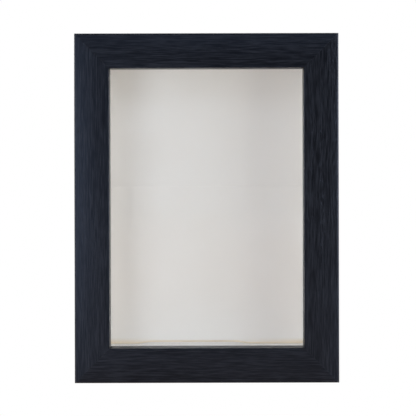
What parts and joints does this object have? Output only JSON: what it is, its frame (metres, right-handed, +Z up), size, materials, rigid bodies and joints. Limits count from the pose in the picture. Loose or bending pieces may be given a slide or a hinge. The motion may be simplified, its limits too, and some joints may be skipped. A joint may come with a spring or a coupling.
{
  "type": "shadow box",
  "caption": "Upright shadow box: mitred black grained frame, clear glass, deep white-lined display space, back panel held by turn buttons, toothed hangers for either way up.",
  "frame": {"origin": "on the underside of the bottom rail, at the middle of its length and of the frame's depth", "axes": "+Z up, +Y towards the wall and the back panel, so the glass faces -Y, and +X to the right of someone looking at the glass"},
  "size_m": [0.1554, 0.0418, 0.2056],
  "materials": {
    "black_grain_wrap": "satin black wood-grain foil over fibreboard",
    "wedge_steel": "plain rolled steel strip",
    "clear_glass": "clear float glass, ground edges",
    "white_liner": "matt white paper over board",
    "white_mount_board": "matt white paper, tan core on the cut edges",
    "brown_fibreboard": "smooth-faced hardboard with sawn edges",
    "hanger_zinc": "pressed strip, bright zinc plate",
    "screw_zinc": "bright zinc plate",
    "button_zinc": "pressed plate, bright zinc plate",
    "black_rubber": "matt moulded rubber"
  },
  "bodies": {
    "frame": {"rail_top": "black_grain_wrap", "rail_bottom": "black_grain_wrap", "rail_left": "black_grain_wrap", "rail_right": "black_grain_wrap", "corner_wedge_top_left_inner": "wedge_steel", "corner_wedge_top_left_outer": "wedge_steel", "corner_wedge_top_right_inner": "wedge_steel", "corner_wedge_top_right_outer": "wedge_steel", "corner_wedge_bottom_left_inner": "wedge_steel", "corner_wedge_bottom_left_outer": "wedge_steel", "corner_wedge_bottom_right_inner": "wedge_steel", "corner_wedge_bottom_right_outer": "wedge_steel", "glass_pane": "clear_glass", "liner_top": "white_liner", "liner_bottom": "white_liner", "liner_left": "white_liner", "liner_right": "white_liner", "display_board": "white_mount_board", "back_panel": "brown_fibreboard", "upright_hanger": "hanger_zinc", "sideways_hanger": "hanger_zinc", "upright_hanger_nail_1": "hanger_zinc", "upright_hanger_nail_2": "hanger_zinc", "sideways_hanger_nail_1": "hanger_zinc", "sideways_hanger_nail_2": "hanger_zinc", "button_screw_bottom_left": "screw_zinc", "button_screw_top_left": "screw_zinc", "button_screw_bottom_right": "screw_zinc", "button_screw_top_right": "screw_zinc", "button_screw_left_lower": "screw_zinc", "button_screw_right_lower": "screw_zinc", "button_screw_left_upper": "screw_zinc", "button_screw_right_upper": "screw_zinc", "wall_pad_left": "black_rubber", "wall_pad_right": "black_rubber"},
    "turn_button_bottom_left": {"turn_button_bottom_left": "button_zinc"},
    "turn_button_top_left": {"turn_button_top_left": "button_zinc"},
    "turn_button_bottom_right": {"turn_button_bottom_right": "button_zinc"},
    "turn_button_top_right": {"turn_button_top_right": "button_zinc"},
    "turn_button_left_lower": {"turn_button_left_lower": "button_zinc"},
    "turn_button_right_lower": {"turn_button_right_lower": "button_zinc"},
    "turn_button_left_upper": {"turn_button_left_upper": "button_zinc"},
    "turn_button_right_upper": {"turn_button_right_upper": "button_zinc"}
  },
  "joints": [
    {"name": "turn_button_bottom_left_turn", "type": "hinge", "parent": "frame", "child": "turn_button_bottom_left", "pos_m": [-0.042, 0.019, 0.0068], "axis": [0, 1, 0], "continuous": true},
    {"name": "turn_button_top_left_turn", "type": "hinge", "parent": "frame", "child": "turn_button_top_left", "pos_m": [-0.042, 0.019, 0.1988], "axis": [0, 1, 0], "continuous": true},
    {"name": "turn_button_bottom_right_turn", "type": "hinge", "parent": "frame", "child": "turn_button_bottom_right", "pos_m": [0.042, 0.019, 0.0068], "axis": [0, 1, 0], "continuous": true},
    {"name": "turn_button_top_right_turn", "type": "hinge", "parent": "frame", "child": "turn_button_top_right", "pos_m": [0.042, 0.019, 0.1988], "axis": [0, 1, 0], "continuous": true},
    {"name": "turn_button_left_lower_turn", "type": "hinge", "parent": "frame", "child": "turn_button_left_lower", "pos_m": [-0.07095, 0.019, 0.0478], "axis": [0, 1, 0], "continuous": true},
    {"name": "turn_button_right_lower_turn", "type": "hinge", "parent": "frame", "child": "turn_button_right_lower", "pos_m": [0.07095, 0.019, 0.0478], "axis": [0, 1, 0], "continuous": true},
    {"name": "turn_button_left_upper_turn", "type": "hinge", "parent": "frame", "child": "turn_button_left_upper", "pos_m": [-0.07095, 0.019, 0.1578], "axis": [0, 1, 0], "continuous": true},
    {"name": "turn_button_right_upper_turn", "type": "hinge", "parent": "frame", "child": "turn_button_right_upper", "pos_m": [0.07095, 0.019, 0.1578], "axis": [0, 1, 0], "continuous": true}
  ]
}
